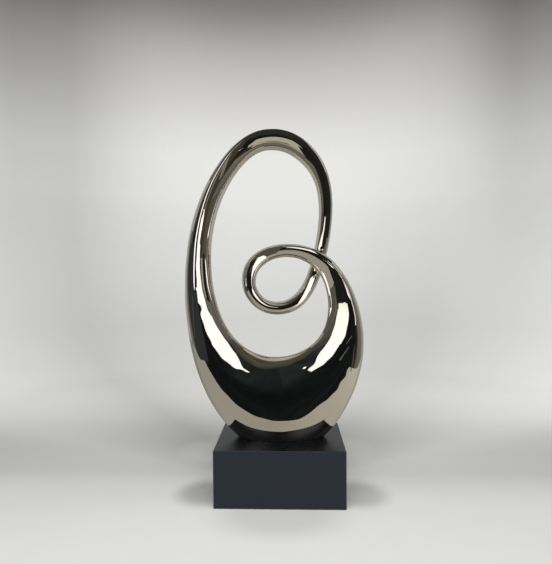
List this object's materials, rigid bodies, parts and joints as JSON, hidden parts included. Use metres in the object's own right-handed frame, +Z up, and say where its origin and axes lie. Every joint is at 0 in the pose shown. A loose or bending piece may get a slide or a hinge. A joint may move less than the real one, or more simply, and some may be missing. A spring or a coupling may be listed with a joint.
{
  "type": "abstract ceramic sculpture on base",
  "caption": "Abstract looped mirror-glazed ceramic sculpture fixed on a black rectangular block plinth, for a shelf or table.",
  "frame": {"origin": "centre of the plinth's underside", "axes": "+Z up, +X to the right seen from the front, +Y from the front face towards the back"},
  "size_m": [0.217, 0.1, 0.4392],
  "materials": {
    "mirror_glaze": "electroplated mirror glaze, warm nickel",
    "satin_black": "satin black paint"
  },
  "bodies": {
    "root": {"loop_sculpture": "mirror_glaze", "plinth": "satin_black"}
  },
  "joints": []
}
